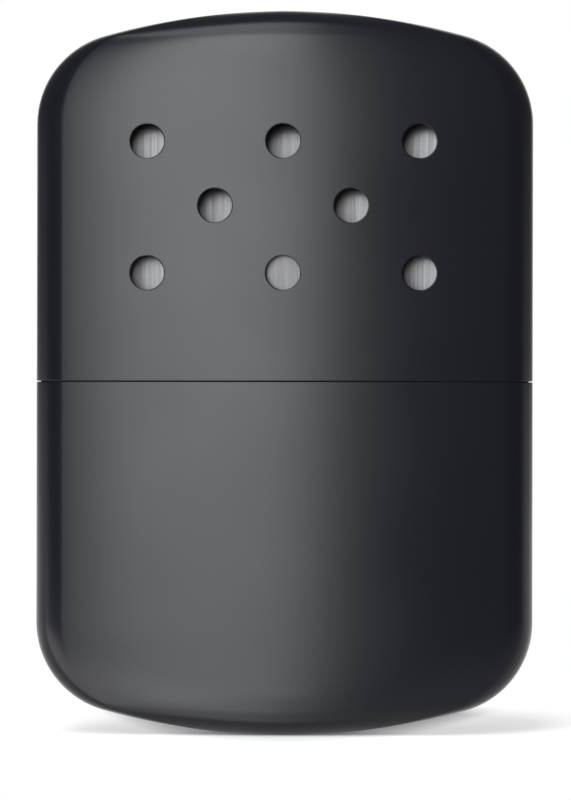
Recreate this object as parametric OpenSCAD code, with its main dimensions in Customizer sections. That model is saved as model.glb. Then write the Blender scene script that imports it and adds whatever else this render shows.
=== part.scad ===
// Refillable catalytic hand warmer, standing upright.
// Two drawn shells meet at a seam: the lower one is the fuel tank, the upper one a vented cap.
// Under the cap, a burner head sits on the tank's oval filler neck.
// Origin: middle of the small flat under the tank. X runs across the width, the front faces -Y, Z is up.

/* [Shells] */
// Overall width
case_w = 67.5; // [64:0.5:72]
// Overall height
case_h = 98.2; // [94:0.2:104]
// Overall thickness, at the middle
case_t = 14; // [13:0.25:16]
// Sheet thickness of the two painted shells
shell_wall = 0.5; // [0.4:0.05:0.7]
// Radius of the crowned front and back, seen from above
crown_r = 185; // [150:5:250]
// Radius of the arched top and bottom, seen from the front
arch_r = 92; // [80:1:120]
// Radius of the four corners of the outline, seen from the front
corner_r = 12.4; // [10:0.2:15]
// Radius rolled round the top and bottom edges, seen from the side
edge_r = 5.5; // [4:0.25:6]
// Height of the seam between tank and cap
seam_z = 47.9; // [44:0.1:52]
// Open seam between the two rims
seam_gap = 0.2; // [0.1:0.05:0.4]
// Half the width of the small flat that the tank stands on
foot_half = 5; // [4:0.5:7]

/* [Vents] */
// Diameter of each vent
vent_d = 4.6; // [3:0.1:6]
// Sideways distance from one vent column to the next
vent_pitch = 9.2; // [7:0.1:10.5]
// Height of the lowest vent row above the seam
vent_low = 14.65; // [12:0.05:18]
// Rise from the lowest row to the middle row
vent_rise_mid = 9.1; // [6.5:0.1:10]
// Rise from the middle row to the top row
vent_rise_top = 8.7; // [6.5:0.1:10]

/* [Tank top] */
// Height of the collar above the seam
collar_h = 9; // [7:0.5:10]
// Length of the collar inside the tank, below the seam
collar_lap = 4; // [2:0.5:6]
// Sheet thickness of the tank top
collar_wall = 0.4; // [0.3:0.05:0.6]
// Radius rolled round the collar's top edge
collar_edge_r = 1.4; // [1:0.1:2]
// Clearance from the collar to the cap and to the tank
collar_fit = 0.08; // [0.05:0.01:0.1]

/* [Filler neck] */
// Length of the oval neck, outside
neck_w = 27; // [24:0.5:30]
// Width of the oval neck, outside
neck_d = 7.6; // [7:0.1:8]
// Sheet thickness of the neck
neck_wall = 0.4; // [0.3:0.05:0.5]
// Height of the neck above the shoulder plate
neck_rise = 6; // [5:0.5:8]
// Depth of the neck below the shoulder plate's top
neck_drop = 3; // [2.5:0.25:5]
// Width of the flange that lies on the shoulder plate
flange_w = 0.9; // [0.6:0.1:1.2]
// Thickness of the flange and of the inner lip
flange_t = 0.4; // [0.3:0.05:0.5]
// Width of the inner lip at the foot of the neck
lip_w = 0.6; // [0.4:0.1:0.8]

/* [Wick] */
// Thickness of the perforated plate in the neck
gauze_t = 0.4; // [0.3:0.05:0.6]
// Diameter of the plate's holes
gauze_hole_d = 1.2; // [0.8:0.1:1.4]
// Distance from hole to hole
gauze_pitch = 2; // [1.8:0.1:2.4]
// Thickness of the felt under the neck
felt_t = 2.4; // [1.5:0.1:4]

/* [Burner head] */
// Clearance between neck and sleeve
sleeve_fit = 0.1; // [0.05:0.01:0.1]
// Sheet thickness of the sleeve
sleeve_wall = 0.5; // [0.4:0.05:0.6]
// Height of the sleeve above the neck's rim, where vapour gathers under the catalyst
throat_h = 1.5; // [1:0.25:3]
// Height of the bead above the sleeve's lower edge
bead_rise = 2.2; // [1.5:0.1:4]
// How far the bead stands out of the sleeve
bead_w = 0.5; // [0.4:0.05:0.7]
// Thickness of the bead
bead_t = 0.6; // [0.4:0.05:0.8]
// Clearance between the pieces that are nested in the hood
nest_fit = 0.05; // [0.03:0.01:0.08]
// Sheet thickness of the hood
hood_wall = 0.4; // [0.3:0.05:0.5]
// Radius rolled round the hood's top edge
hood_edge_r = 1; // [0.8:0.1:1.6]
// Length of the air slot in each face of the hood
face_slot_w = 10; // [6:0.5:12]
// Length of the air slot in each end of the hood
end_slot_w = 4; // [3:0.25:4.5]
// Number of slots in the hood's top
top_slots = 7; // [3:1:7]
// Width of a slot in the hood's top
top_slot_w = 2.2; // [1.4:0.1:2.6]
// Length of a slot in the hood's top
top_slot_l = 5.8; // [4:0.2:6.4]
// Distance from slot to slot
top_slot_pitch = 3.3; // [3:0.1:3.6]
// Thickness of the tray ring under the screens
tray_t = 0.4; // [0.3:0.05:0.6]
// Width of the tray ring
tray_w = 1.2; // [0.8:0.1:1.6]
// Thickness of a wire screen
screen_t = 0.4; // [0.3:0.05:0.6]
// Side of a screen's square openings
mesh_gap = 1.3; // [0.8:0.1:1.5]
// Distance from one screen opening to the next
mesh_pitch = 1.9; // [1.7:0.1:2.2]
// Thickness of the catalyst pad
pad_t = 2.4; // [1.6:0.1:3.2]
// Clearance round soft pieces
soft_gap = 0.3; // [0.2:0.05:0.4]

/* [Hidden] */
$fn = 64;
over = 1; // how far a cutting body runs past what it cuts

paint_colour = [0.22, 0.225, 0.24];
steel_colour = [0.75, 0.76, 0.77];
screen_colour = [0.45, 0.45, 0.44];
pad_colour = [0.36, 0.35, 0.34];
felt_colour = [0.86, 0.83, 0.76];
batting_colour = [0.93, 0.92, 0.88];

// Faces round half of each shell section, and up its rolled ends
end_steps = 14;
crown_steps = 12;
arch_steps = 6;
corner_steps = 8;
collar_steps = 4;
edge_faces = 16; // faces round a thin edge, all the way round it
tip = 0.04; // share of the arch left to the flat at its very top

half_w = case_w / 2;
half_t = case_t / 2;

// Heights of the pieces on the tank
tank_rim_z = seam_z - seam_gap / 2;
cap_rim_z = seam_z + seam_gap / 2;
shoulder_z = seam_z + collar_h;
plate_under_z = shoulder_z - collar_wall;
neck_foot_z = shoulder_z - neck_drop;
neck_top_z = shoulder_z + neck_rise;
felt_top_z = neck_foot_z - soft_gap;
felt_foot_z = felt_top_z - felt_t;

// Ovals of the neck and of the burner share one straight run and differ in their end radius
oval_run = neck_w - neck_d;
neck_r = neck_d / 2;
neck_bore_r = neck_r - neck_wall;
sleeve_bore_r = neck_r + sleeve_fit;
sleeve_r = sleeve_bore_r + sleeve_wall;
hood_bore_r = sleeve_r + nest_fit;
hood_r = hood_bore_r + hood_wall;
tray_r = hood_bore_r - nest_fit;
ceiling_r = hood_bore_r - (hood_edge_r - hood_wall);

// Heights of the burner head
sleeve_foot_z = shoulder_z + flange_t + sleeve_fit;
sleeve_top_z = neck_top_z + throat_h;
bead_z = sleeve_foot_z + bead_rise;
hood_foot_z = bead_z + bead_t;
tray_top_z = sleeve_top_z + tray_t;
lower_screen_top_z = tray_top_z + screen_t;
pad_z = lower_screen_top_z + soft_gap;
upper_screen_z = pad_z + pad_t + soft_gap;
hood_ceiling_z = upper_screen_z + screen_t + nest_fit;
hood_top_z = hood_ceiling_z + hood_wall;

// ---- Shell geometry ----
// Seen from above, a shell is a lens: two crowned arcs, each tangent to a round at both sides.
// "inset" moves the whole form inwards, so walls and fits stay even all the way round.

function end_round(inset) =
    let (r = crown_r - inset, a = half_w - inset, b = half_t - inset)
    (2 * r * b - b * b - a * a) / (2 * (r - a));

// Points of the lens, counter-clockwise from above, all round from the right-hand side
function lens(inset) =
    let (
        r = crown_r - inset,
        a = half_w - inset,
        b = half_t - inset,
        e = end_round(inset),
        lean = atan2(a - e, r - b),
        right = [for (i = [0 : end_steps]) let (t = (90 - lean) * (2 * i / end_steps - 1))
            [a - e + e * cos(t), e * sin(t)]],
        back = [for (i = [1 : crown_steps - 1]) let (t = lean * (1 - 2 * i / crown_steps))
            [r * sin(t), b - r + r * cos(t)]]
    )
    concat(right, back, [for (p = right) -p], [for (p = back) -p]);

// Seen from the front, each end is an arch with a round corner at both sides.
// A level is [half width, depth below the arch's top].
function corner_turn(inset) = asin((half_w - corner_r) / (arch_r - corner_r));
function corner_depth(inset) =
    arch_r - inset - (arch_r - corner_r) * cos(corner_turn(inset));
function arch_level(inset, share) =
    let (t = corner_turn(inset) * share, r = arch_r - inset)
    [r * sin(t), r * (1 - cos(t))];
function corner_level(inset, share) =
    let (t = corner_turn(inset) + (90 - corner_turn(inset)) * share, r = corner_r - inset)
    [half_w - inset - r + r * sin(t), corner_depth(inset) - r * cos(t)];

// Seen from the side, each end is rolled over with edge_r.
function half_depth(inset, depth) =
    let (e = edge_r - inset, b = half_t - inset)
    depth >= e ? b : b - e + sqrt(e * e - (e - depth) * (e - depth));

// Levels of one end from its tip to its full section
function end_levels(inset, first) = concat(
    [for (i = [0 : arch_steps]) arch_level(inset, first + (1 - first) * i / arch_steps)],
    [for (i = [1 : corner_steps]) corner_level(inset, i / corner_steps)]
);

// One ring of the shell: the lens drawn in to a level's half width and half depth
function ring(inset, level, z) =
    let (sx = level[0] / (half_w - inset), sy = half_depth(inset, level[1]) / (half_t - inset))
    [for (p = lens(inset)) [p[0] * sx, p[1] * sy, z]];

function full_ring(inset, z) = [for (p = lens(inset)) [p[0], p[1], z]];

// Rings of the rolled top and bottom, from their tip to the full section
function top_rings(inset) =
    [for (v = end_levels(inset, tip)) ring(inset, v, case_h - inset - v[1])];
function bottom_rings(inset) =
    let (
        first = asin(foot_half / arch_r) / corner_turn(inset),
        levels = end_levels(inset, first)
    )
    [for (v = levels) ring(inset, v, inset + v[1] - levels[0][1])];

// Full-width rings drawn in by a rolled edge, for the tank top
function rolled_rings(inset, edge, top_z) =
    [for (i = [0 : collar_steps]) let (t = 90 * i / collar_steps)
        full_ring(inset + edge * (1 - cos(t)), top_z - edge + edge * sin(t))];

function reversed(v) = [for (i = [len(v) - 1 : -1 : 0]) v[i]];

// Skin over a list of rings. Both end rings are closed, and the outside runs upwards.
module skin(rings) {
    n = len(rings[0]);
    last = len(rings) - 1;
    centres = [for (k = [0, last]) [0, 0, rings[k][0][2]]];
    points = concat([for (r = rings) each r], centres);
    side = [for (k = [0 : last - 1], j = [0 : n - 1])
        let (a = k * n + j, b = k * n + (j + 1) % n) each [[a, b + n, b], [a, a + n, b + n]]];
    first_cap = [for (j = [0 : n - 1]) [len(points) - 2, j, (j + 1) % n]];
    last_cap = [for (j = [0 : n - 1]) [len(points) - 1, last * n + (j + 1) % n, last * n + j]];
    polyhedron(points, concat(side, first_cap, last_cap));
}

// ---- Oval pieces ----

// A drawn oval piece: its half section, in (distance from the middle line, height), is revolved
// round both ends and run straight between them
module oval() {
    for (side = [0, 1])
        mirror([side, 0, 0])
            translate([oval_run / 2, 0, 0])
                rotate([0, 0, -90])
                    rotate_extrude(angle = 180)
                        children();
    translate([-oval_run / 2, 0, 0])
        rotate([90, 0, 90])
            linear_extrude(oval_run) {
                children();
                mirror([1, 0])
                    children();
            }
}

// A piece of half section between two radii and two heights
module strip(r_in, r_out, z_low, z_high) {
    translate([r_in, z_low])
        square([r_out - r_in, z_high - z_low]);
}

// An edge of half section that is rounded to the sheet's full thickness
module round_edge(r, z, thickness) {
    translate([r, z])
        circle(d = thickness, $fn = edge_faces);
}

// A slot-shaped body that stands along Z
module slot(length, width, height) {
    linear_extrude(height) {
        square([length - width, width], center = true);
        for (s = [-1, 1])
            translate([s * (length - width) / 2, 0])
                circle(d = width);
    }
}

// Oval plate that lies between two heights
module oval_plate(r, z_low, z_high) {
    translate([0, 0, z_low])
        slot(oval_run + 2 * r, 2 * r, z_high - z_low);
}

// Counts of holes in a row that fits a half length
function row_count(half_length, pitch) = floor(half_length / pitch);

// Places [x, y] of a grid of openings inside an oval of end radius r, each "size" across
function grid(r, pitch, size) =
    let (
        rows = row_count(r - size, pitch),
        columns = row_count(oval_run / 2 + r / 2 - size, pitch)
    )
    [for (i = [-columns : columns], j = [-rows : rows]) [i * pitch, j * pitch]];

// ---- Tank ----

module tank_shell() {
    color(paint_colour)
        skin(concat(
            bottom_rings(0),
            [full_ring(0, tank_rim_z), full_ring(shell_wall, tank_rim_z)],
            reversed(bottom_rings(shell_wall))
        ));
}

module tank_top() {
    outer = shell_wall + collar_fit;
    inner = outer + collar_wall;
    lap_z = seam_z - collar_lap;
    color(steel_colour)
        difference() {
            skin(concat(
                reversed(rolled_rings(inner, collar_edge_r - collar_wall, plate_under_z)),
                [full_ring(inner, lap_z), full_ring(outer, lap_z)],
                rolled_rings(outer, collar_edge_r, shoulder_z)
            ));
            oval_plate(neck_r + nest_fit, plate_under_z - over, shoulder_z + over);
        }
}

module filler_neck() {
    rim_r = neck_wall / 2;
    color(steel_colour)
        oval() {
            union() {
                strip(neck_bore_r, neck_r, neck_foot_z, neck_top_z - rim_r);
                round_edge(neck_r - rim_r, neck_top_z - rim_r, neck_wall);
                strip(neck_bore_r, neck_r + flange_w, shoulder_z, shoulder_z + flange_t);
                strip(neck_bore_r - lip_w, neck_r, neck_foot_z, neck_foot_z + flange_t);
            }
        }
}

module neck_gauze() {
    low_z = neck_foot_z + flange_t;
    color(screen_colour)
        difference() {
            oval_plate(neck_bore_r - nest_fit, low_z, low_z + gauze_t);
            for (p = grid(neck_bore_r - lip_w, gauze_pitch, gauze_hole_d / 2))
                translate([p[0], p[1], low_z - over])
                    cylinder(d = gauze_hole_d, h = gauze_t + 2 * over);
        }
}

module wick_felt() {
    color(felt_colour)
        oval_plate(neck_r, felt_foot_z, felt_top_z);
}

module tank_batting() {
    inset = shell_wall + collar_fit + collar_wall + soft_gap;
    color(batting_colour)
        difference() {
            skin(concat(
                bottom_rings(inset),
                [full_ring(inset + collar_edge_r, plate_under_z - soft_gap)]
            ));
            oval_plate(neck_r + soft_gap, felt_foot_z - soft_gap, shoulder_z);
        }
}

// ---- Burner head ----

module burner_skirt() {
    bead_round = sleeve_r + bead_w - bead_t / 2;
    color(steel_colour)
        oval() {
            union() {
                strip(sleeve_bore_r, sleeve_r, sleeve_foot_z, sleeve_top_z);
                strip(sleeve_bore_r, bead_round, bead_z, bead_z + bead_t);
                round_edge(bead_round, bead_z + bead_t / 2, bead_t);
            }
        }
}

// Half section of a hood with a rolled top edge
module hood_section(r, edge, top_z) {
    strip(0, r, hood_foot_z, top_z - edge);
    strip(0, r - edge, hood_foot_z, top_z);
    translate([r - edge, top_z - edge])
        circle(r = edge);
}

module burner_hood() {
    slot_h = pad_t;
    slot_z = pad_z + pad_t / 2;
    color(steel_colour)
        difference() {
            oval()
                difference() {
                    hood_section(hood_r, hood_edge_r, hood_top_z);
                    hood_section(hood_bore_r, hood_edge_r - hood_wall, hood_ceiling_z);
                    strip(0, hood_bore_r, hood_foot_z - over, hood_foot_z + over);
                }
            // Air slots in both faces and both ends, level with the catalyst
            translate([0, hood_r + over, slot_z])
                rotate([90, 0, 0])
                    slot(face_slot_w, slot_h, 2 * (hood_r + over));
            translate([-neck_w, 0, slot_z])
                rotate([90, 0, 90])
                    slot(end_slot_w, slot_h, 2 * neck_w);
            // Slots that leave bars across the top
            for (i = [0 : top_slots - 1])
                translate([(i - (top_slots - 1) / 2) * top_slot_pitch, 0, hood_ceiling_z - over])
                    rotate([0, 0, 90])
                        slot(top_slot_l, top_slot_w, hood_wall + 2 * over);
        }
}

module pad_tray() {
    color(steel_colour)
        difference() {
            oval_plate(tray_r, sleeve_top_z, tray_top_z);
            oval_plate(tray_r - tray_w, sleeve_top_z - over, tray_top_z + over);
        }
}

// A wire screen: an oval plate with a grid of square openings
module screen(r, low_z) {
    color(screen_colour)
        difference() {
            oval_plate(r, low_z, low_z + screen_t);
            for (p = grid(r, mesh_pitch, mesh_gap / 2))
                translate([p[0], p[1], low_z + screen_t / 2])
                    cube([mesh_gap, mesh_gap, screen_t + 2 * over], center = true);
        }
}

module lower_screen() {
    screen(tray_r, tray_top_z);
}

module catalyst_pad() {
    color(pad_colour)
        oval_plate(hood_bore_r - soft_gap, pad_z, pad_z + pad_t);
}

// It fits the flat of the hood's ceiling, inside the rolled edge
module upper_screen() {
    screen(ceiling_r, upper_screen_z);
}

// ---- Cap ----

// Places [x, height above the lowest row] of the vents, three, two and three to a row
vents = concat(
    [for (i = [-2, 0, 2]) [i * vent_pitch, 0]],
    [for (i = [-1, 1]) [i * vent_pitch, vent_rise_mid]],
    [for (i = [-2, 0, 2]) [i * vent_pitch, vent_rise_mid + vent_rise_top]]
);

module cap_shell() {
    color(paint_colour)
        difference() {
            skin(concat(
                top_rings(shell_wall),
                [full_ring(shell_wall, cap_rim_z), full_ring(0, cap_rim_z)],
                reversed(top_rings(0))
            ));
            for (v = vents)
                translate([v[0], 0, seam_z + vent_low + v[1]])
                    rotate([90, 0, 0])
                        cylinder(d = vent_d, h = half_t + over);
        }
}

tank_shell();
tank_top();
filler_neck();
neck_gauze();
wick_felt();
tank_batting();
burner_skirt();
burner_hood();
pad_tray();
lower_screen();
catalyst_pad();
upper_screen();
cap_shell();
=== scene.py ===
# %% [markdown]
# # A refillable catalytic hand warmer, standing on a pale table
#
# The object is a flat metal case in two drawn shells: the lower one holds the fuel, the upper one is a
# cap with eight round vents. Under the cap a burner head sits on an oval filler neck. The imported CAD
# model is the frame: every new piece here lies where a CAD node lies, stands for it, and rides the same
# body, so the cap and the burner head still lift off.

# %% The frame
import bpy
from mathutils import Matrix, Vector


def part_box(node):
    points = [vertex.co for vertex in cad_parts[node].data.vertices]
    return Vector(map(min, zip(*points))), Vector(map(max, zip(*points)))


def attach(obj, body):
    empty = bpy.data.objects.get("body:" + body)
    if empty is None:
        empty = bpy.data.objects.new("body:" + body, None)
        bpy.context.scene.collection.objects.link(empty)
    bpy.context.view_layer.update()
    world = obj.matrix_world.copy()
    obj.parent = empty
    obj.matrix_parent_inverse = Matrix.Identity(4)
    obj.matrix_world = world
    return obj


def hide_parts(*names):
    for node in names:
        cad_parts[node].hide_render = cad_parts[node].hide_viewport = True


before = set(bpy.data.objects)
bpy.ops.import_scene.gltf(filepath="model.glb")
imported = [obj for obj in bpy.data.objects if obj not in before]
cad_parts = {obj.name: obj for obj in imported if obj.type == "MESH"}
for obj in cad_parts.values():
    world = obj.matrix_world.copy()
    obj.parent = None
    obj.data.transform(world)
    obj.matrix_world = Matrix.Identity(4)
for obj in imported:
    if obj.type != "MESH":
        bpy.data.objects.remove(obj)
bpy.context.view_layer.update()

# %% What the lesson uses
import random
from math import asin, atan2, cos, hypot, pi, radians, sin, sqrt

import bmesh
import bpy
from mathutils import Euler, Matrix, Vector

MM = 0.001
scene = bpy.context.scene


def mm(*numbers):
    """A point or a move that is given in millimetres, in Blender's metres."""
    return Vector(numbers) * MM


# %% [markdown]
# ## The camera
#
# The photograph is taken from almost straight in front, a little under half the warmer's height, with a
# long lens: the sides run parallel and the two ends look alike. The vents lie a little left of the
# outline's middle and show more of their left inner edge, so the camera stands 1.9 degrees to the right.
# A level camera gives the same picture without any shift. The picture is 571 pixels wide and 800 high,
# and one millimetre of the warmer is 7.351 of them.

# %% Camera
PIXELS_HIGH, PIXELS_PER_MM = 800, 7.351
CAMERA_AWAY, CAMERA_HEIGHT, CAMERA_TURN = 750, 45.4, radians(1.9)
camera = bpy.data.objects.new("camera", bpy.data.cameras.new("camera"))
scene.collection.objects.link(camera)
camera.data.sensor_fit = "VERTICAL"
camera.data.sensor_height = 24
camera.data.lens = 24 * PIXELS_PER_MM * CAMERA_AWAY / PIXELS_HIGH
camera.location = mm(0.15 + CAMERA_AWAY * sin(CAMERA_TURN), -CAMERA_AWAY * cos(CAMERA_TURN),
                     CAMERA_HEIGHT)
camera.rotation_euler = (pi / 2, radians(-0.1), CAMERA_TURN)
camera.data.clip_start, camera.data.clip_end = 0.01, 20
scene.camera = camera
print("lens", round(camera.data.lens, 1), "mm")

# %% [markdown]
# ## Drawing with one vertex
#
# Sheet-metal pieces are sections that are turned, swept or drawn up. By hand one would place a single
# vertex, press E to extrude it from corner to corner, and spin or extrude the line that comes out. These
# helpers do just that with the same operators, and pick what the next operator acts on by its place.


# %% Helpers for modelling
def only(obj):
    """Makes obj the active object and the only one selected, in object mode."""
    if bpy.context.object and bpy.context.object.mode != "OBJECT":
        bpy.ops.object.mode_set(mode="OBJECT")
    bpy.ops.object.select_all(action="DESELECT")
    obj.select_set(True)
    bpy.context.view_layer.objects.active = obj


def edit(obj):
    """Opens obj in edit mode with all of it selected."""
    only(obj)
    bpy.ops.object.mode_set(mode="EDIT")
    bpy.ops.mesh.select_mode(type="VERT")
    bpy.ops.mesh.select_all(action="SELECT")


def start_point(name, point):
    """A new object, open in edit mode, that is a single vertex."""
    bpy.ops.object.select_all(action="DESELECT")
    bpy.ops.mesh.primitive_plane_add(size=MM, location=mm(*point))
    obj = bpy.context.object
    obj.name = obj.data.name = name
    bpy.ops.object.transform_apply(location=True)
    edit(obj)
    bpy.ops.mesh.merge(type="CENTER")
    bpy.ops.mesh.select_all(action="SELECT")
    return obj


def push(*move):
    """Extrudes what is selected by a move in millimetres."""
    bpy.ops.mesh.extrude_region_move(TRANSFORM_OT_translate={"value": mm(*move)})


def turn(angle, centre, axis=(0, 0, 1), steps=16):
    """Spins what is selected round an axis through a point in millimetres, anticlockwise. The
    operator itself turns clockwise for a positive angle, hence the minus."""
    bpy.ops.mesh.spin(steps=steps, angle=-angle, center=mm(*centre), axis=axis)


def line(name, points):
    """A new object with one line through the points, open in edit mode."""
    obj = start_point(name, points[0])
    for a, b in zip(points, points[1:]):
        push(*(Vector(b) - Vector(a)))
    return obj


def pick(kind, test):
    """Selects the VERT, EDGE or FACE parts of the open mesh that pass the test, and nothing else."""
    bpy.ops.mesh.select_mode(type=kind)
    bpy.ops.mesh.select_all(action="DESELECT")
    mesh = bmesh.from_edit_mesh(bpy.context.object.data)
    parts = {"VERT": mesh.verts, "EDGE": mesh.edges, "FACE": mesh.faces}[kind]
    chosen = [part for part in parts if test(part)]
    for part in chosen:
        part.select_set(True)
    mesh.select_flush_mode()
    bmesh.update_edit_mesh(bpy.context.object.data)
    return len(chosen)


def tidy_mesh(obj):
    """Merges doubles and points all faces outwards, and leaves edit mode."""
    bpy.ops.mesh.select_mode(type="VERT")
    bpy.ops.mesh.select_all(action="SELECT")
    bpy.ops.mesh.remove_doubles(threshold=0.001 * MM)
    bpy.ops.mesh.dissolve_degenerate(threshold=0.0005 * MM)
    bpy.ops.mesh.normals_make_consistent(inside=False)
    bpy.ops.object.mode_set(mode="OBJECT")


def modify(obj, kind, **settings):
    """Adds a modifier to obj and applies it."""
    only(obj)
    modifier = obj.modifiers.new(kind.lower(), kind)
    for key, value in settings.items():
        setattr(modifier, key, value)
    bpy.ops.object.modifier_apply(modifier=modifier.name)


def cut(obj, cutter):
    """Takes the cutter's volume out of obj, and the cutter out of the scene."""
    modify(obj, "BOOLEAN", operation="DIFFERENCE", solver="EXACT", object=cutter)
    bpy.data.objects.remove(cutter)


def join(name, parts):
    """One object of several."""
    only(parts[0])
    for part in parts:
        part.select_set(True)
    bpy.ops.object.join()
    parts[0].name = parts[0].data.name = name
    return parts[0]


def seat(obj, body, node, smooth=38):
    """Shades a finished piece, and lets it stand for its node on its body."""
    only(obj)
    bpy.ops.object.shade_smooth_by_angle(angle=radians(smooth))
    modify(obj, "WEIGHTED_NORMAL", keep_sharp=True, weight=50)
    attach(obj, body)
    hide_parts(node)
    size = [round(d * 1000, 2) for d in obj.dimensions]
    print(f"{obj.name}: {len(obj.data.polygons)} faces, {size} mm, on {body}")
    return obj


# %% [markdown]
# ## The two painted shells
#
# Each half of the case is drawn from one sheet. Seen from above its section is a lens: two crowned arcs
# of 185 mm radius that run tangent into a small round at both sides. Seen from the front the closed end
# is a shallow arch with round corners, and seen from the side it is rolled over with 5.5 mm. A box with
# bevels can't give that double curve. So the lens is drawn with one vertex that is spun round its four
# arc centres, and the ring is pushed up level by level and drawn in to each level's width and depth,
# as the press draws the real sheet. Solidify then gives the sheet its half millimetre, inwards. The
# two rims are rounded, and with the painted shade on the collar behind them, the seam between them
# reads as one thin dark line.

# %% Sizes of the case
CASE_H, SEAM_Z, SEAM_GAP, SHEET = 98.2, 47.9, 0.1, 0.5
HALF_W, HALF_T = 67.5 / 2, 14 / 2
CROWN_R, ARCH_R, CORNER_R, EDGE_R, FOOT_HALF = 185, 92, 12.4, 5.5, 5
RIM_ROUND, WALL_START, WALL_STEPS, TOP_FLAT = 0.13, 0.14, 14, 0.035
END_STEPS, CROWN_STEPS, CORNER_STEPS, ARCH_STEPS = 28, 44, 18, 14
CORNER_TURN = asin((HALF_W - CORNER_R) / (ARCH_R - CORNER_R))
CORNER_DROP = ARCH_R - (ARCH_R - CORNER_R) * cos(CORNER_TURN)
print("the arch meets the corner at", round(CORNER_TURN * 180 / pi, 2), "degrees")


def lens_ring(name, inset, z):
    """The lens section at a height, as one closed line that is open in edit mode."""
    r, a, b = CROWN_R - inset, HALF_W - inset, HALF_T - inset
    end = (2 * r * b - b * b - a * a) / (2 * (r - a))
    lean = atan2(a - end, r - b)
    ring = start_point(name, (a, 0, z))
    turn(pi / 2 - lean, (a - end, 0, z), steps=END_STEPS // 2)
    turn(2 * lean, (0, b - r, z), steps=CROWN_STEPS)
    turn(pi - 2 * lean, (end - a, 0, z), steps=END_STEPS)
    turn(2 * lean, (0, r - b, z), steps=CROWN_STEPS)
    turn(pi / 2 - lean, (a - end, 0, z), steps=END_STEPS // 2)
    bpy.ops.mesh.select_all(action="SELECT")
    bpy.ops.mesh.remove_doubles(threshold=0.001 * MM)
    return ring


def draw_in(levels, z):
    """Pushes the selected ring from height z through levels of (height, width share, depth share)."""
    wide = deep = 1
    for new_z, new_wide, new_deep in levels:
        push(0, 0, new_z - z)
        shares = (new_wide / wide, new_deep / deep, 1)
        bpy.ops.transform.resize(value=shares, center_override=mm(0, 0, new_z))
        z, wide, deep = new_z, new_wide, new_deep


def between(low, high, steps):
    """Even steps from low, which is left out, to high."""
    return [low + (high - low) * i / steps for i in range(1, steps + 1)]


def end_levels(last_turn):
    """(depth under the arch's top, width share, depth share) from the full section to the end."""
    corner = [(HALF_W - CORNER_R + CORNER_R * sin(t), CORNER_DROP - CORNER_R * cos(t))
              for t in between(pi / 2, CORNER_TURN, CORNER_STEPS)]
    arch = [(ARCH_R * sin(t), ARCH_R * (1 - cos(t)))
            for t in between(CORNER_TURN, last_turn, ARCH_STEPS)]
    levels = []
    for width, depth in corner + arch:
        rolled = sqrt(EDGE_R ** 2 - max(EDGE_R - depth, 0) ** 2) - EDGE_R
        levels.append((depth, width / HALF_W, (HALF_T + rolled) / HALF_T))
    return levels


# %% Drawing a shell
def sharp(part):
    """True for an edge between two faces that meet at more than 50 degrees."""
    return len(part.link_faces) == 2 and part.calc_face_angle() > radians(50)


def drawn_shell(name, rim_z, last_turn, upwards):
    """A shell from its rim to its closed end. Its inside has the second material slot."""
    levels = end_levels(last_turn)
    foot = levels[-1][0] if not upwards else 0
    height = (lambda depth: CASE_H - depth) if upwards else (lambda depth: depth - foot)
    first = SEAM_Z + (WALL_START if upwards else -WALL_START)
    wall = [(z, 1, 1) for z in between(first, height(CORNER_DROP), WALL_STEPS)]
    shell = lens_ring(name, 0, rim_z)
    draw_in(wall + [(height(d), w, t) for d, w, t in levels], rim_z)
    bpy.ops.mesh.edge_face_add()
    tidy_mesh(shell)
    shell.data.materials.append(None)
    shell.data.materials.append(None)
    modify(shell, "SOLIDIFY", thickness=SHEET * MM, offset=-1, use_even_offset=True,
           use_quality_normals=True, material_offset=1, material_offset_rim=0)
    return shell


def soften(obj, width, test=sharp, segments=2):
    """Bevels the sharp edges that pass the test."""
    edit(obj)
    count = pick("EDGE", lambda e: sharp(e) and test(e))
    bpy.ops.mesh.bevel(offset=width * MM, segments=segments, affect="EDGES")
    bpy.ops.object.mode_set(mode="OBJECT")
    print(obj.name, "has", count, "edges softened by", width, "mm")


tank = drawn_shell("painted_tank", SEAM_Z - SEAM_GAP / 2, asin(FOOT_HALF / ARCH_R), False)
soften(tank, RIM_ROUND, segments=3)
cap = drawn_shell("painted_cap", SEAM_Z + SEAM_GAP / 2, TOP_FLAT * CORNER_TURN, True)

# %% [markdown]
# ## The vents
#
# Eight round holes of 4.6 mm are pierced through the front of the cap, in rows of three, two and three.
# A press punches all of them alike, so one punch is made and copied, and the copies cut the front wall
# together. Where the mesh's own lines meet a hole, its bevel would pinch, so the lines round each vent
# are dissolved first. The large faces this leaves would shade flat, so the finished wall takes over the
# smooth normals of the uncut shell.

# %% Eight vents
VENT_R, VENT_PITCH, VENT_EDGE, VENT_MARGIN = 4.6 / 2, 9.2, 0.15, 0.5
PUNCH_LONG, PUNCH_Y = 8, -6
VENT_ROWS = {SEAM_Z + 14.65: (-2, 0, 2), SEAM_Z + 23.75: (-1, 1), SEAM_Z + 32.45: (-2, 0, 2)}
VENTS = [(k * VENT_PITCH, z) for z, row in VENT_ROWS.items() for k in row]

bpy.ops.object.select_all(action="DESELECT")
bpy.ops.mesh.primitive_cylinder_add(vertices=72, radius=VENT_R * MM, depth=PUNCH_LONG * MM,
                                    rotation=(pi / 2, 0, 0))
punch = bpy.context.object
bpy.ops.object.transform_apply(rotation=True)
uncut = cap.copy()
uncut.data = cap.data.copy()
scene.collection.objects.link(uncut)
only(uncut)
bpy.ops.object.shade_smooth_by_angle(angle=radians(38))


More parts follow.
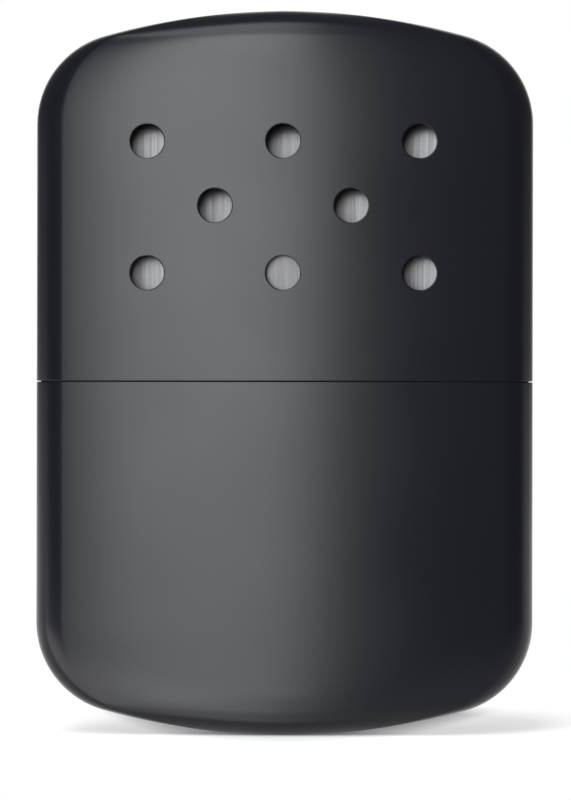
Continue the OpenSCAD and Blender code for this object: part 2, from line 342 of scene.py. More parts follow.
def over_vent(face):
    """True for a face of the front wall that reaches within the margin of a vent."""
    xs, zs = [v.co.x / MM for v in face.verts], [v.co.z / MM for v in face.verts]
    return face.calc_center_median().y < 0 and any(
        hypot(max(min(xs) - x, x - max(xs), 0), max(min(zs) - z, z - max(zs), 0)) < VENT_R + VENT_MARGIN
        for x, z in VENTS)


edit(cap)
print(pick("FACE", over_vent), "faces dissolved round the vents")
bpy.ops.mesh.dissolve_faces()
bpy.ops.object.mode_set(mode="OBJECT")
punches = []
for x, z in VENTS:
    copy = punch.copy()
    copy.data = punch.data.copy()
    copy.data.transform(Matrix.Translation(mm(x, PUNCH_Y, z)))
    scene.collection.objects.link(copy)
    punches.append(copy)
bpy.data.objects.remove(punch)
cut(cap, join("punches", punches))


def from_vent(p):
    """How far a point in millimetres lies outside the nearest vent, seen from the front."""
    return min(hypot(p.x - x, p.z - z) for x, z in VENTS) - VENT_R


def at_vent(edge):
    """True for an edge of the painted skin that runs round a vent."""
    ends = [v.co / MM for v in edge.verts]
    front = [CROWN_R - HALF_T - sqrt(CROWN_R ** 2 - p.x ** 2) for p in ends]
    return all(abs(from_vent(p)) < 0.02 and p.y < y + SHEET / 2 for p, y in zip(ends, front))


soften(cap, VENT_EDGE, at_vent, segments=3)
soften(cap, RIM_ROUND, lambda e: e.verts[0].co.z < (SEAM_Z + 0.2) * MM, segments=3)
edit(cap)
bpy.ops.mesh.fill_holes(sides=8)
bpy.ops.object.mode_set(mode="OBJECT")
seat(tank, "tank", "tank_shell")
seat(cap, "cap", "cap_shell")


WALL_HALF, WALL_LOW, WALL_HIGH = 26, 56, 85


def on_wall(p):
    """True for a point of the front wall round the vents, outside their rounded edges."""
    inside = abs(p.x) < WALL_HALF and WALL_LOW < p.z < WALL_HIGH
    return p.y < 0 and inside and from_vent(p) > VENT_EDGE - 0.02


wall = cap.vertex_groups.new(name="wall")
wall.add([v.index for v in cap.data.vertices if on_wall(v.co / MM)], 1.0, "REPLACE")
modify(cap, "DATA_TRANSFER", object=uncut, use_loop_data=True, vertex_group=wall.name,
       data_types_loops={"CUSTOM_NORMAL"}, loop_mapping="POLYINTERP_NEAREST")
cap.vertex_groups.clear()
bpy.data.objects.remove(uncut)

# %% [markdown]
# ## The bright top of the tank
#
# A second drawn part closes the tank: a collar that the cap slides over, with a rolled edge and a flat
# shoulder that has an oval hole for the neck. It follows the same lens, set in by the painted sheet and
# a sliding fit of 0.08 mm. Its lower end laps 4 mm inside the painted tank.

# %% Tank top
COLLAR_INSET, COLLAR_SHEET, COLLAR_EDGE = SHEET + 0.08, 0.4, 1.4
SHOULDER_Z, LAP_Z = SEAM_Z + 9, SEAM_Z - 4
NECK_R, OVAL_RUN = 7.6 / 2, 27 - 7.6


def slot_body(name, centre, length, width, along, across, deep):
    """A body with a slot-shaped section, half of its depth to each side of the centre."""
    along, across = Vector(along), Vector(across)
    through = along.cross(across)
    straight = along * (length - width) / 2
    first = Vector(centre) + straight - across * width / 2 - through * deep / 2
    body = start_point(name, first)
    turn(pi, Vector(centre) + straight, axis=through, steps=20)
    push(*(-2 * straight))
    turn(pi, Vector(centre) - straight, axis=through, steps=20)
    bpy.ops.mesh.select_all(action="SELECT")
    bpy.ops.mesh.remove_doubles(threshold=0.001 * MM)
    bpy.ops.mesh.edge_face_add()
    push(*(through * deep))
    tidy_mesh(body)
    return body


collar = lens_ring("bright_collar", COLLAR_INSET, LAP_Z)
half_w, half_t = HALF_W - COLLAR_INSET, HALF_T - COLLAR_INSET
straight = [(z, 1, 1) for z in between(LAP_Z, SHOULDER_Z - COLLAR_EDGE, 6)]
rolled = []
for t in between(0, pi / 2, 8):
    drawn = COLLAR_EDGE * (1 - cos(t))
    z = SHOULDER_Z - COLLAR_EDGE + COLLAR_EDGE * sin(t)
    rolled.append((z, 1 - drawn / half_w, 1 - drawn / half_t))
draw_in(straight + rolled, LAP_Z)
bpy.ops.mesh.edge_face_add()
tidy_mesh(collar)
modify(collar, "SOLIDIFY", thickness=COLLAR_SHEET * MM, offset=-1, use_even_offset=True,
       use_quality_normals=True)
cut(collar, slot_body("hole", (0, 0, SHOULDER_Z), OVAL_RUN + 2 * NECK_R + 0.1, 2 * NECK_R + 0.1,
                      (1, 0, 0), (0, 1, 0), 3))
soften(collar, 0.08)
seat(collar, "tank", "tank_top")

# %% [markdown]
# ## Oval tubes: neck, sleeve and hood
#
# The filler neck and the parts of the burner head are ovals: two half turns joined by two straight
# sides. Each is one wall section. It is drawn corner by corner, its corners are rounded, and it is then
# spun half a turn, pushed straight, spun again and pushed back to where it began.


# %% Oval pieces
def oval_piece(name, outline, rounds=(), closed=True, steps=28):
    """An oval piece from its wall section, in (distance from the middle line, height) in mm.
    Each of rounds is (corner's number, radius)."""
    half = OVAL_RUN / 2
    points = [(half, -d, z) for d, z in outline]
    obj = line(name, points + points[:1] if closed else points)
    bpy.ops.mesh.select_all(action="SELECT")
    bpy.ops.mesh.remove_doubles(threshold=0.001 * MM)
    for number, radius in rounds:
        corner = mm(*points[number])
        pick("VERT", lambda v: (v.co - corner).length < 0.001 * MM)
        bpy.ops.mesh.bevel(offset=radius * MM, segments=6, affect="VERTICES")
    bpy.ops.mesh.select_all(action="SELECT")
    turn(pi, (half, 0, 0), steps=steps)
    push(-OVAL_RUN, 0, 0)
    turn(pi, (-half, 0, 0), steps=steps)
    push(OVAL_RUN, 0, 0)
    tidy_mesh(obj)
    return obj


NECK_WALL, NECK_FOOT, NECK_TOP = 0.4, SHOULDER_Z - 3, SHOULDER_Z + 6
NECK_BORE = NECK_R - NECK_WALL
neck = oval_piece("filler_tube", [
    (NECK_BORE - 0.6, NECK_FOOT), (NECK_R, NECK_FOOT), (NECK_R, SHOULDER_Z),
    (NECK_R + 0.9, SHOULDER_Z), (NECK_R + 0.9, SHOULDER_Z + 0.4), (NECK_R, SHOULDER_Z + 0.4),
    (NECK_R, NECK_TOP), (NECK_BORE, NECK_TOP), (NECK_BORE, NECK_FOOT + 0.4),
    (NECK_BORE - 0.6, NECK_FOOT + 0.4),
], rounds=[(4, 0.16), (6, 0.19), (7, 0.19), (9, 0.1)])
seat(neck, "tank", "filler_neck")

SLEEVE_BORE, SLEEVE_R = NECK_R + 0.1, NECK_R + 0.6
SLEEVE_FOOT = SHOULDER_Z + 0.5
SLEEVE_TOP, BEAD_Z = NECK_TOP + 1.5, SLEEVE_FOOT + 2.2
sleeve = oval_piece("burner_sleeve", [
    (SLEEVE_BORE, SLEEVE_FOOT), (SLEEVE_R, SLEEVE_FOOT), (SLEEVE_R, BEAD_Z),
    (SLEEVE_R + 0.5, BEAD_Z), (SLEEVE_R + 0.5, BEAD_Z + 0.6), (SLEEVE_R, BEAD_Z + 0.6),
    (SLEEVE_R, SLEEVE_TOP), (SLEEVE_BORE, SLEEVE_TOP),
], rounds=[(0, 0.15), (1, 0.15), (3, 0.29), (4, 0.29), (6, 0.1), (7, 0.1)])
seat(sleeve, "burner", "burner_skirt")

# %% [markdown]
# ## The hood of the burner head
#
# The hood is a drawn oval box, open below, that stands on the sleeve's bead. A slot in each face and
# each end lets air at the catalyst, and seven slots leave bars across its top. The slots are punched
# through the finished hood, so here they are cut too, and then their edges are softened.

# %% Hood
HOOD_BORE, HOOD_R = SLEEVE_R + 0.05, SLEEVE_R + 0.45
HOOD_FOOT, TRAY_Z = BEAD_Z + 0.6, SLEEVE_TOP
PAD_Z = TRAY_Z + 1.1
PAD_TOP = PAD_Z + 2.4
HOOD_CEILING, HOOD_TOP = PAD_TOP + 0.75, PAD_TOP + 1.15
SLOT_Z = (PAD_Z + PAD_TOP) / 2
hood = oval_piece("slotted_hood", [
    (0, HOOD_CEILING), (HOOD_BORE, HOOD_CEILING), (HOOD_BORE, HOOD_FOOT),
    (HOOD_R, HOOD_FOOT), (HOOD_R, HOOD_TOP), (0, HOOD_TOP),
], rounds=[(1, 0.6), (4, 1)], closed=False)
X, Y, Z = (1, 0, 0), (0, 1, 0), (0, 0, 1)
cut(hood, slot_body("faces", (0, 0, SLOT_Z), 10, 2.4, X, Z, 14))
cut(hood, slot_body("ends", (0, 0, SLOT_Z), 4, 2.4, Y, Z, 40))
cut(hood, join("top_slots", [
    slot_body("top_slot", ((i - 3) * 3.3, 0, HOOD_TOP), 5.8, 2.2, Y, (-1, 0, 0), 2) for i in range(7)]))
soften(hood, 0.07)
seat(hood, "burner", "burner_hood")

TRAY_R = HOOD_BORE - 0.05
tray = oval_piece("screen_tray", [
    (TRAY_R - 1.2, TRAY_Z), (TRAY_R, TRAY_Z), (TRAY_R, TRAY_Z + 0.4), (TRAY_R - 1.2, TRAY_Z + 0.4),
], rounds=[(2, 0.1), (3, 0.1)])
seat(tray, "burner", "pad_tray")

# %% [markdown]
# ## Woven wire screens
#
# A screen lies under the catalyst and one over it. CAD has plates with square openings, but a real
# screen is woven: each wire passes over one crossing wire and under the next. One long and one short
# wire are extruded along a wave whose length is two openings. The others are copies, every second one
# moved on by one opening, and each is cut off where the oval ends.

# %% Wire screens
WIRE_R, MESH_PITCH = 0.092, 0.66


def wave_wire(name, half_length, sign):
    """A six-sided wire along X that waves up and down past the wires that cross it."""
    steps = int(half_length * 2 / MESH_PITCH) * 4 + 8
    step = MESH_PITCH / 4
    xs = [(i - steps / 2) * step for i in range(steps + 1)]
    heights = [sign * WIRE_R * cos(pi * x / MESH_PITCH) for x in xs]
    bpy.ops.object.select_all(action="DESELECT")
    bpy.ops.mesh.primitive_circle_add(vertices=6, radius=WIRE_R * MM, fill_type="NGON",
                                      rotation=(0, pi / 2, 0), location=mm(xs[0], 0, heights[0]))
    wire = bpy.context.object
    wire.name = name
    bpy.ops.object.transform_apply(location=True, rotation=True)
    edit(wire)
    for low, high in zip(heights, heights[1:]):
        push(step, 0, high - low)
    bpy.ops.mesh.select_all(action="SELECT")
    bpy.ops.mesh.normals_make_consistent(inside=False)
    bpy.ops.object.mode_set(mode="OBJECT")
    return wire


def woven_screen(name, radius, middle_z):
    """An oval of woven wire."""
    half, radius = OVAL_RUN / 2, radius - WIRE_R
    wires = []
    for across, sign in ((False, 1), (True, -1)):
        reach = radius if across else half + radius
        span = half + radius if across else radius
        master = wave_wire("wire", reach, sign)
        count = int(span / MESH_PITCH)
        for k in range(-count, count + 1):
            place = k * MESH_PITCH
            if across:
                length = sqrt(radius ** 2 - max(abs(place) - half, 0) ** 2)
            else:
                length = half + sqrt(radius ** 2 - place ** 2)
            wire = master.copy()
            wire.data = master.data.copy()
            scene.collection.objects.link(wire)
            wire.data.transform(Matrix.Translation(mm(MESH_PITCH * (k % 2), place, 0)))
            edit(wire)
            for side in (1, -1):
                bpy.ops.mesh.select_all(action="SELECT")
                bpy.ops.mesh.bisect(plane_co=mm(side * length, 0, 0), plane_no=(side, 0, 0),
                                    clear_outer=True)
                bpy.ops.mesh.select_all(action="SELECT")
                bpy.ops.mesh.fill_holes(sides=8)
            bpy.ops.object.mode_set(mode="OBJECT")
            if across:
                wire.data.transform(Matrix.Rotation(pi / 2, 4, "Z"))
            wires.append(wire)
        bpy.data.objects.remove(master)
    screen = join(name, wires)
    screen.data.transform(Matrix.Translation(mm(0, 0, middle_z)))
    return screen


lower = woven_screen("lower_weave", TRAY_R, TRAY_Z + 0.6)
seat(lower, "burner", "lower_screen", smooth=75)
upper = woven_screen("upper_weave", HOOD_BORE - 0.6, PAD_TOP + 0.5)
seat(upper, "burner", "upper_screen", smooth=75)

# %% [markdown]
# ## Soft fillings
#
# Three pieces are fibre: the coated glass-fibre mat where the vapour burns, a felt under the neck, and
# the cotton that fills the tank. None is a sewn cushion, so nothing inflates them. Each is its CAD
# solid's form with rounded edges, remeshed fine and pushed about a little by clouds of noise. The mat
# and the felt are strewn with loose fibres that are copies of one bent strand.


# %% Fibres
def puffed(obj, voxel, lumps, depth):
    """Remeshes a solid and moves its skin in and out by soft noise."""
    modify(obj, "REMESH", mode="VOXEL", voxel_size=voxel * MM, use_smooth_shade=True)
    modify(obj, "SMOOTH", factor=0.8, iterations=6)
    clouds = bpy.data.textures.new(obj.name + "_lumps", "CLOUDS")
    clouds.noise_scale = lumps * MM
    clouds.noise_depth = 2
    modify(obj, "DISPLACE", texture=clouds, texture_coords="GLOBAL", strength=depth * MM,
           mid_level=0.75)
    return obj


def strand(length, radius):
    """One bent three-sided fibre with its middle at the origin."""
    bpy.ops.object.select_all(action="DESELECT")
    bpy.ops.mesh.primitive_circle_add(vertices=3, radius=radius * MM, fill_type="NGON",
                                      rotation=(0, pi / 2, 0), location=mm(-length / 2, 0, 0))
    fibre = bpy.context.object
    bpy.ops.object.transform_apply(location=True, rotation=True)
    edit(fibre)
    steps = 6
    for i in range(steps):
        bend = 0.16 * length * (cos(pi * i / steps) - cos(pi * (i + 1) / steps)) * cos(i)
        push(length / steps, bend, 0.1 * bend)
    bpy.ops.mesh.select_all(action="SELECT")
    bpy.ops.mesh.normals_make_consistent(inside=False)
    bpy.ops.object.mode_set(mode="OBJECT")
    return fibre


def strewn(obj, fibre, count, seed, sink, radius, spread=0.05):
    """Lays copies of a fibre on the top and bottom of an oval obj, and joins them to it. Their middles
    keep inside an oval of the radius, so that no end sticks out at the sides."""
    rng = random.Random(seed)
    faces = [(p.center.copy(), p.normal.copy()) for p in obj.data.polygons
             if abs(p.normal.z) > 0.8 and
             hypot(max(abs(p.center.x) / MM - OVAL_RUN / 2, 0), p.center.y / MM) < radius]
    parts = [obj]
    for centre, normal in rng.sample(faces, count):
        copy = fibre.copy()
        copy.data = fibre.data.copy()
        lie = normal.to_track_quat("Z", "Y").to_matrix().to_4x4()
        spin = Euler((rng.uniform(-spread, spread), rng.uniform(-spread, spread),
                      rng.uniform(0, 2 * pi))).to_matrix().to_4x4()
        size = Matrix.Scale(rng.uniform(0.6, 1.1), 4)
        copy.data.transform(Matrix.Translation(centre - normal * sink * MM) @ lie @ spin @ size)
        scene.collection.objects.link(copy)
        parts.append(copy)
    bpy.data.objects.remove(fibre)
    return join(obj.name, parts)


MAT_R = HOOD_BORE - 0.3
mat = oval_piece("catalyst_mat", [
    (0, PAD_Z + 0.15), (MAT_R - 0.1, PAD_Z + 0.15), (MAT_R - 0.1, PAD_TOP - 0.15), (0, PAD_TOP - 0.15),
], rounds=[(1, 0.5), (2, 0.5)], closed=False)
puffed(mat, 0.26, 0.9, 0.18)
mat = strewn(mat, strand(2.0, 0.025), 900, 11, 0.01, MAT_R - 1.1)
seat(mat, "burner", "catalyst_pad", smooth=180)

FELT_TOP = NECK_FOOT - 0.3
felt = oval_piece("felt_wick", [
    (0, FELT_TOP - 2.35), (NECK_R - 0.1, FELT_TOP - 2.35), (NECK_R - 0.1, FELT_TOP - 0.05),
    (0, FELT_TOP - 0.05),
], rounds=[(1, 0.5), (2, 0.5)], closed=False)
puffed(felt, 0.3, 0.6, 0.08)
felt = strewn(felt, strand(1.4, 0.015), 300, 12, 0.01, NECK_R - 0.9)
seat(felt, "tank", "wick_felt", smooth=180)

BATTING_GAP, BATTING_EDGE = 0.3, 1.4
BATTING_INSET = COLLAR_INSET + COLLAR_SHEET + BATTING_GAP
batting_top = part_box("tank_batting")[1].z / MM - BATTING_GAP
inner_w, inner_t = HALF_W - BATTING_INSET, HALF_T - BATTING_INSET
cotton = lens_ring("cotton_fill", BATTING_INSET, batting_top)
bpy.ops.transform.resize(value=(1 - BATTING_EDGE / inner_w, 1 - BATTING_EDGE / inner_t, 1),
                         center_override=mm(0, 0, batting_top))
bpy.ops.mesh.edge_face_add()
push(0, 0, -BATTING_EDGE)
wider = (inner_w / (inner_w - BATTING_EDGE), inner_t / (inner_t - BATTING_EDGE), 1)
bpy.ops.transform.resize(value=wider, center_override=mm(0, 0, batting_top - BATTING_EDGE))
tank_end = end_levels(asin(FOOT_HALF / ARCH_R))
foot, end_top = tank_end[-1][0], CORNER_DROP + 1
down = [(z, 1, 1) for z in between(batting_top - BATTING_EDGE, end_top, 6)]
squeezed = [(BATTING_INSET + (d - foot) * (end_top - BATTING_INSET) / CORNER_DROP, w, t)
            for d, w, t in tank_end]
draw_in(down + squeezed, batting_top - BATTING_EDGE)
tidy_mesh(cotton)
pocket = slot_body("pocket", (0, 0, FELT_TOP + 5), OVAL_RUN + 2 * NECK_R + 0.9, 2 * NECK_R + 0.9,
                   X, Y, 15.8)
cut(cotton, pocket)
puffed(cotton, 0.7, 5, 0.6)
seat(cotton, "tank", "tank_batting", smooth=180)

# %% [markdown]
# ## Finishes as expressions
#
# A material is a small sum: a colour that changes with noise, a roughness that follows the brush lines,
# a height that bumps the surface. Wiring such sums by hand is slow to read. The class below wraps one
# socket, so that plain arithmetic on it adds the Math nodes, and one method makes every other node.


# %% Node expressions
class Signal:
    """A number that changes over a surface: one output socket of a material."""

    def __init__(self, finish, socket):
        self.finish, self.socket = finish, socket

    def math(self, operation, a, b):
        return self.finish.node("ShaderNodeMath", {"operation": operation}, {0: a, 1: b})

    def __add__(self, other):
        return self.math("ADD", self, other)

    def __sub__(self, other):
        return self.math("SUBTRACT", self, other)

    def __rsub__(self, other):
        return self.math("SUBTRACT", other, self)

    def __mul__(self, other):
        return self.math("MULTIPLY", self, other)

    __radd__, __rmul__ = __add__, __mul__


class Finish:
    """One procedural material, or the nodes of the world if that is given as the owner."""

    def __init__(self, name, owner=None):
        self.material = owner or bpy.data.materials.new(name)
        self.material.use_nodes = True
        self.tree = self.material.node_tree
        self.tree.nodes.clear()

    def node(self, kind, settings=None, sockets=None, output=0):
        """Adds a node: its settings first, then the values or links of its sockets."""
        made = self.tree.nodes.new(kind)
        for key, value in (settings or {}).items():
            if key == "stops":
                ramp = made.color_ramp.elements
                while len(ramp) < len(value):
                    ramp.new(0.5)
                for element, (place, colour) in zip(ramp, value):
                    element.position, element.color = place, colour
            else:
                setattr(made, key, value)
        for key, value in (sockets or {}).items():
            if isinstance(value, Signal):
                self.tree.links.new(value.socket, made.inputs[key])
            else:
                made.inputs[key].default_value = value
        return Signal(self, made.outputs[output]) if made.outputs else None

    def place(self, scale=(1, 1, 1), turn=(0, 0, 0)):
        """The piece's own coordinates, in metres, stretched by scale."""
        coordinates = self.node("ShaderNodeTexCoord", output="Object")
        return self.node("ShaderNodeMapping", sockets={"Vector": coordinates, "Scale": scale,
                                                       "Rotation": turn})

    def noise(self, scale, detail=2, stretch=(1, 1, 1), rough=0.5):
        """Noise with about "scale" lumps to the metre."""
        return self.node("ShaderNodeTexNoise", sockets={
            "Vector": self.place(stretch), "Scale": scale, "Detail": detail, "Roughness": rough})

    def blend(self, mask, a, b):
        """Colour a where the mask is 0, and colour b where it is 1."""
        return self.node("ShaderNodeMix", {"data_type": "RGBA"}, {0: mask, 6: a, 7: b}, output=2)

    def spread(self, signal, low, high, to_low=0, to_high=1):
        """Stretches low to high of a signal over a new range, and clamps it there."""
        return self.node("ShaderNodeMapRange", {"clamp": True}, {
            "Value": signal, "From Min": low, "From Max": high, "To Min": to_low, "To Max": to_high})

    def levelled(self, share):
        """The direction the surface faces, with only a share of its turn to the left or right."""
        facing = self.node("ShaderNodeNewGeometry", output="Normal")
        turned = self.node("ShaderNodeVectorMath", {"operation": "MULTIPLY"}, {0: facing, 1: (share, 1, 1)})
        return self.node("ShaderNodeVectorMath", {"operation": "NORMALIZE"}, {0: turned})

    def bump(self, height, distance, strength=1.0, facing=None):
        """Raises the surface by height times the distance in metres."""
        sockets = {"Height": height, "Distance": distance, "Strength": strength}
        if facing:
            sockets["Normal"] = facing
        return self.node("ShaderNodeBump", sockets=sockets)

    def surface(self, sockets):
        """Ends the material in a Principled shader."""
        shader = self.node("ShaderNodeBsdfPrincipled", sockets=sockets)
        self.node("ShaderNodeOutputMaterial", sockets={"Surface": shader})
        return self.material


def grey(r, g=None, b=None):
    return (r, r if g is None else g, r if b is None else b, 1)


def wear(obj, *materials):
    """Gives obj its materials."""
    obj.data.materials.clear()
    for material in materials:
        obj.data.materials.append(material)


# %% [markdown]
# ## Graphite paint
#
# The outside is a dark, satin, slightly blue graphite lacquer, sprayed and baked. It has no grain to
# speak of: what makes it look like paint is a soft wide highlight that breaks up very slightly. So the
# colour is almost even, the roughness drifts a little, and a fine orange peel lies over it all.

# %% Paint
paint = Finish("graphite_lacquer")
drift = paint.noise(60, detail=3)
peel = paint.noise(2600, detail=2)
speck = paint.noise(9000, detail=1)
paint_colour = paint.blend(paint.spread(speck, 0.35, 0.65), grey(0.0072, 0.0078, 0.0136),
                           grey(0.0094, 0.0101, 0.0168))
graphite = paint.surface({
    "Base Color": paint_colour,
    "Roughness": paint.spread(drift, 0.3, 0.7, 0.22, 0.25),
    "Normal": paint.bump(peel * 0.8 + speck * 0.2, 0.0000008),
    "IOR": 1.5,
})

# %% [markdown]
# ## Bare drawn steel
#
# Inside the cap, and on the tank top, the sheet is bare. Drawing it over the punch leaves fine upright
# lines. Noise that is stretched a hundred times along Z gives such lines, in the roughness and as a tiny
# bump, and an anisotropic gloss spreads reflections sideways across them. Each vent shows a disc of light
# that the cap's far wall throws back. In the photograph those discs all lie alike, as in a flat mirror,
# so the inside is shaded as if it were less crowned than it is. Below the cap's rim the collar has
# painted shade: a dark, dull band that is not metal, which keeps the seam dark.


# %% Steel
def drawn_steel(name, tone, low, high, lines=7000, anisotropic=0.8, depth=0.0000015, tint=0.0,
                seam_shade=False, level=1.0):
    """Brushed metal. Where asked, painted shade covers it below the cap's rim: a dark, dull band that is
    not metal. A level below 1 shades a crowned wall as if it were flatter."""
    steel = Finish(name)
    fine = steel.noise(lines, detail=3, stretch=(1, 1, 0.012), rough=0.6)
    broad = steel.noise(lines / 6, detail=2, stretch=(1, 1, 0.02))
    lines_mix = fine * 0.7 + broad * 0.3
    mask = steel.spread(lines_mix, 0.35, 0.65)
    bright = grey(tone, tone, tone * 1.01)
    dull = grey(tone * 0.78, tone * 0.77, tone * (0.77 - tint))
    colour, metallic = steel.blend(mask, dull, bright), 1.0
    roughness = steel.spread(lines_mix, 0.3, 0.7, high, low)
    # Painted shade: below the cap's rim the collar turns dark grey, dull and not metal, so the seam reads
    # dark.
    if seam_shade:
        height = steel.node("ShaderNodeSeparateXYZ", sockets={0: steel.place()}, output="Z")
        metallic = steel.spread(height, (SEAM_Z + 0.2) * MM, (SEAM_Z + 0.25) * MM)
        colour = steel.blend(metallic, grey(0.05), colour)
        roughness = roughness * metallic + (1 - metallic)
    return steel.surface({
        "Base Color": colour,
        "Metallic": metallic,
        "Roughness": roughness,
        "Anisotropic": anisotropic,
        "Normal": steel.bump(lines_mix, depth, facing=steel.levelled(level) if level < 1 else None),
    })


cap_inside = drawn_steel("bare_sheet_inside", 0.16, 0.18, 0.25, anisotropic=0.8, level=0.2)
# The tank top carries painted shade below the cap's rim, which keeps the seam dark.
tank_steel = drawn_steel("bright_drawn_steel", 0.72, 0.16, 0.30, lines=5000, anisotropic=0.5, seam_shade=True)
burner_steel = drawn_steel("burner_sheet", 0.22, 0.34, 0.45, lines=6000, anisotropic=0.4)

# %% Screens, mat, felt and cotton
wire_steel = Finish("woven_wire")
soot = wire_steel.noise(900, detail=3)
screen_metal = wire_steel.surface({
    "Base Color": wire_steel.blend(wire_steel.spread(soot, 0.35, 0.65), grey(0.34, 0.33, 0.32),
                                   grey(0.52, 0.51, 0.50)),
    "Metallic": 1.0,
    "Roughness": wire_steel.spread(soot, 0.3, 0.7, 0.5, 0.3),
})


def fibre_finish(name, dark, light, scale, rough=0.95, sheen=0.3):
    fibre = Finish(name)
    clumps = fibre.noise(scale, detail=4, rough=0.7)
    hairs = fibre.noise(scale * 8, detail=2, stretch=(1, 0.2, 0.6))
    mask = fibre.spread(clumps * 0.6 + hairs * 0.4, 0.35, 0.65)
    return fibre.surface({
        "Base Color": fibre.blend(mask, dark, light),
        "Roughness": rough,
        "Sheen Weight": sheen,
        "Normal": fibre.bump(hairs, 0.00005, 0.6),
    })


coated_glass = fibre_finish("coated_glass_fibre", grey(0.10, 0.095, 0.09), grey(0.34, 0.33, 0.31), 900)
wool_felt = fibre_finish("pressed_wool", grey(0.62, 0.58, 0.49), grey(0.80, 0.76, 0.67), 1200)
cotton_wool = fibre_finish("cotton_wool", grey(0.78, 0.77, 0.73), grey(0.90, 0.89, 0.86), 300)

for piece, materials in {
    tank: (graphite, cap_inside), cap: (graphite, cap_inside), collar: (tank_steel,),
    neck: (tank_steel,), sleeve: (burner_steel,), hood: (burner_steel,), tray: (burner_steel,),
    lower: (screen_metal,), upper: (screen_metal,), mat: (coated_glass,), felt: (wool_felt,),
    cotton: (cotton_wool,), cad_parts["neck_gauze"]: (screen_metal,),
}.items():
    kept = [p.material_index for p in piece.data.polygons]
    wear(piece, *materials)
    piece.data.polygons.foreach_set("material_index", kept)

# %% [markdown]
# ## Floor, background and light
#
# The photograph has a white ground, a short soft shadow and one wide soft light from the left of the
# camera. The floor is a white disc that keeps the shadow near the warmer, and turns to the background's
# white further out. Its glow is weaker under and behind the warmer's arched foot than in front of it,
# which is a painted shadow. Gloss sees another floor: white only behind the warmer, a dark mirror of the
# lamps in front, a glowing patch at the front left that is a painted reflection, because the paint of the
# photographed case shows just that, and a faint glow under the foot, which is a painted reflection too.
# The world is white where the camera sees it, and behind the object for gloss, while the dark studio in
# front leaves the warmer's right half dark.

# %% Floor
def ray_kinds(finish):
    """Signals that are 1 for what the camera sees straight, and for what gloss or glass shows."""
    camera, gloss, glass = [finish.node("ShaderNodeLightPath", output=f"Is {kind} Ray")
                            for kind in ("Camera", "Glossy", "Transmission")]
    return camera, gloss + glass


bpy.ops.object.select_all(action="DESELECT")
bpy.ops.mesh.primitive_circle_add(vertices=96, radius=3, fill_type="NGON", location=(0, 0, -0.00002))
floor = bpy.context.object
floor.name = "floor"
bpy.ops.object.transform_apply(location=True)
GLOW_FRONT, GLOW_BACK, LIT, ARCH_SHADE = 0.5, 0.1, 1.5, 97
PATCH_GLOW, FRONT_GLOW, FOOT_REFLECTION = 1.5, 0.1, 0.3
WHITE_FROM, WHITE_FULL = (0.040, 0.060), 1.35

ground = Finish("white_ground")
by_camera, by_gloss = ray_kinds(ground)
here = ground.place()
side = ground.node("ShaderNodeSeparateXYZ", sockets={0: here}, output="X")
back = ground.node("ShaderNodeSeparateXYZ", sockets={0: here}, output="Y")
shown = by_camera + by_gloss * ground.spread(back, 0, 0.1)
# Painted shadow: the floor's glow drops from the front to under and behind the warmer, along a line that
# follows its arched foot.
under = back - side * side * ARCH_SHADE
glow_with_painted_shadow = ground.spread(under, -0.030, -0.002, GLOW_FRONT, GLOW_BACK)
# Painted reflection: in front of the warmer the floor glows for gloss only, strongest at the left, which
# puts a highlight in the paint's lower left.
left_reflection = (ground.spread(side, -0.022, 0, PATCH_GLOW, FRONT_GLOW)
              * ground.spread(back, -0.0085, -0.0055, 1, 0) * ground.spread(back, -0.12, -0.03))
# Painted reflection: under and just in front of the warmer the floor glows a little for gloss only, which
# lights the paint along the foot.
foot_reflection = ground.spread(back, -0.0085, -0.0045, 0, FOOT_REFLECTION)
glow = ground.node("ShaderNodeEmission", sockets={
    "Strength": shown * glow_with_painted_shadow + by_gloss * (left_reflection + foot_reflection)})
lit = ground.node("ShaderNodeBsdfDiffuse", sockets={"Color": grey(LIT)})
mirror = ground.node("ShaderNodeBsdfPrincipled", sockets={
    "Base Color": ground.blend(ground.spread(back, -0.1, 0), grey(0.1), grey(0.9)),
    "Roughness": 0.2, "IOR": 5.0})
body = ground.node("ShaderNodeMixShader", sockets={0: by_camera, 1: mirror, 2: lit})
near = ground.node("ShaderNodeAddShader", sockets={0: body, 1: glow})
white = ground.node("ShaderNodeEmission", sockets={"Strength": 1.0})
stretched = ground.place((1 / WHITE_FROM[0], 1 / WHITE_FROM[1], 1))
away = ground.node("ShaderNodeVectorMath", {"operation": "LENGTH"}, {0: stretched}, output=1)
mixed = ground.node("ShaderNodeMixShader", sockets={
    0: shown * ground.spread(away, 1.0, WHITE_FULL), 1: near, 2: white})
ground.node("ShaderNodeOutputMaterial", sockets={"Surface": mixed})
wear(floor, ground.material)
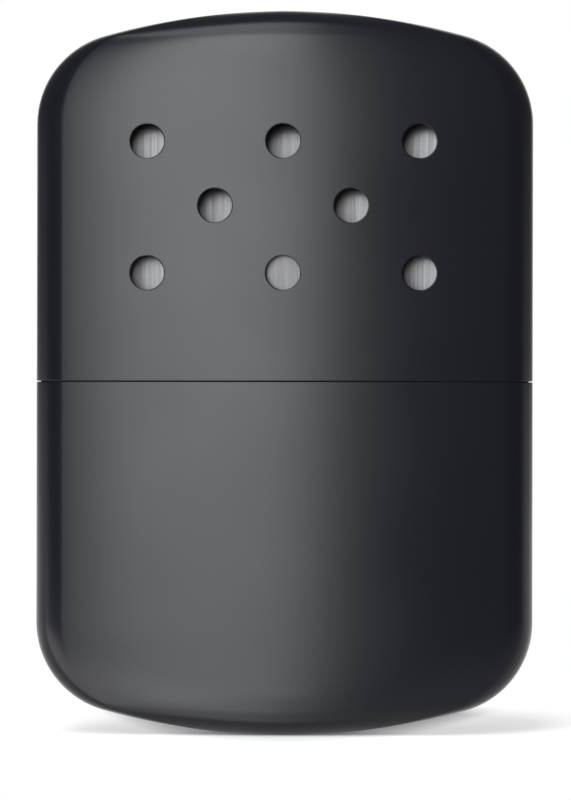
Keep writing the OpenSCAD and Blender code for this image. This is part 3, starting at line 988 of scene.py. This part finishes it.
print("the floor is white beyond", [round(reach * WHITE_FULL / MM) for reach in WHITE_FROM], "mm")

# %% World
STUDIO, BEHIND_FROM, BEHIND_FULL = 0.14, 0.80, 0.97
world = bpy.data.worlds.new("studio")
scene.world = world
sky = Finish("studio", world)
by_camera, by_gloss = ray_kinds(sky)
direction = sky.node("ShaderNodeSeparateXYZ", sockets={
    0: sky.node("ShaderNodeTexCoord", output="Generated")}, output="Y")
behind = sky.spread(direction, BEHIND_FROM, BEHIND_FULL)
strength = sky.node("ShaderNodeMath", {"operation": "MAXIMUM"}, {
    0: by_camera, 1: by_gloss * behind * (1 - STUDIO) + STUDIO})
background = sky.node("ShaderNodeBackground", sockets={"Color": grey(1.0), "Strength": strength})
sky.node("ShaderNodeOutputWorld", sockets={"Surface": background})


# %% Lamps
def softbox(name, place, aim, width, height, radiance, colour=(1, 1, 1)):
    """A rectangular soft light that gives the same radiance whatever its size."""
    lamp = bpy.data.objects.new(name, bpy.data.lights.new(name, "AREA"))
    scene.collection.objects.link(lamp)
    lamp.data.shape = "RECTANGLE"
    lamp.data.size, lamp.data.size_y = width, height
    lamp.data.energy = radiance * pi * width * height
    lamp.data.color = colour
    lamp.location = place
    lamp.rotation_euler = (Vector(aim) - Vector(place)).to_track_quat("-Z", "Y").to_euler()
    lamp.visible_camera = False
    print(name, "gives", round(lamp.data.energy, 2), "W")
    return lamp


COOL = (0.96, 0.98, 1.0)
softbox("key_softbox", (-0.147, -0.787, 0.5), (-0.147, 0, 0.5), 0.336, 1.0, 4.9, COOL)
softbox("top_softbox", (-0.147, -0.42, 1.0), (-0.147, -0.42, 0), 0.336, 0.73, 2.5, COOL)

# %% [markdown]
# ## The end
#
# The colours are shown as they are written, with Blender's Standard view. The last cell leaves edit mode
# and hands the scene to the frame.

# %% View
scene.view_settings.view_transform = "Standard"
if bpy.context.object and bpy.context.object.mode != "OBJECT":
    bpy.ops.object.mode_set(mode="OBJECT")
